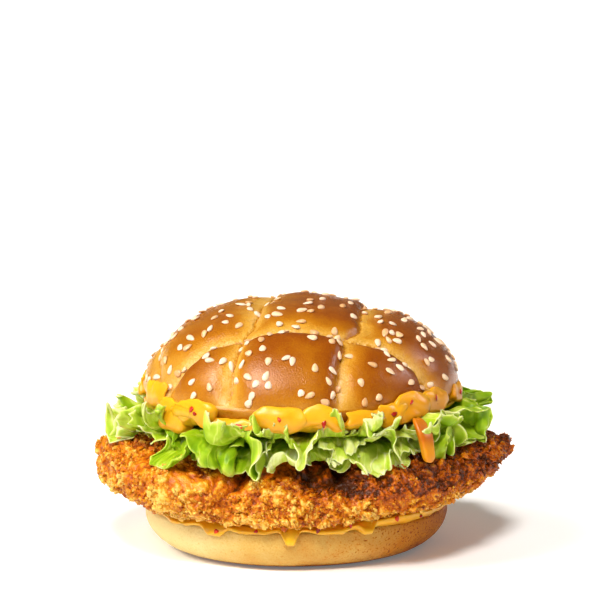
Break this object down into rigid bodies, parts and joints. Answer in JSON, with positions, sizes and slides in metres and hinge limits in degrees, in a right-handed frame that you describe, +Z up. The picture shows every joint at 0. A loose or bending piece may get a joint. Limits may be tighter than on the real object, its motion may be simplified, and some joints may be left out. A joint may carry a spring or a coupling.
{
  "type": "crispy chicken burger",
  "caption": "Crispy chicken burger: creased sesame bun, wide breaded fillet, frilly lettuce and chili mayonnaise, resting on its heel.",
  "frame": {"origin": "middle of the heel's flat underside, which the burger rests on", "axes": "+Z up through the layers; -Y is the front; +X runs to the right, along the fillet's length"},
  "size_m": [0.1398, 0.1152, 0.0834],
  "materials": {
    "bun_crust": "glazed baked crust, glossy, browner on the raised panels and golden in the creases and at the rim",
    "bun_crumb": "pale golden soft bread with fine pores, browner where it rests",
    "breading": "craggy fried crumb coating with golden tips and darker hollows, a little oily",
    "lettuce": "fresh frilly leaf, bright yellow-green with pale ribs and edges",
    "sauce": "thick glossy yellow-orange chili mayonnaise",
    "sesame_seed": "ivory toasted seed",
    "chili_flake": "wet red chili flake"
  },
  "bodies": {
    "root": {"heel_bun": "bun_crumb", "lower_sauce": "sauce", "chicken_fillet": "breading", "lettuce_lower_left": "lettuce", "lettuce_lower_right": "lettuce", "lettuce_lower_back": "lettuce", "lettuce_upper_front": "lettuce", "lettuce_upper_right": "lettuce", "lettuce_upper_back": "lettuce", "upper_sauce": "sauce", "crown_bun": "bun_crust"}
  },
  "joints": []
}
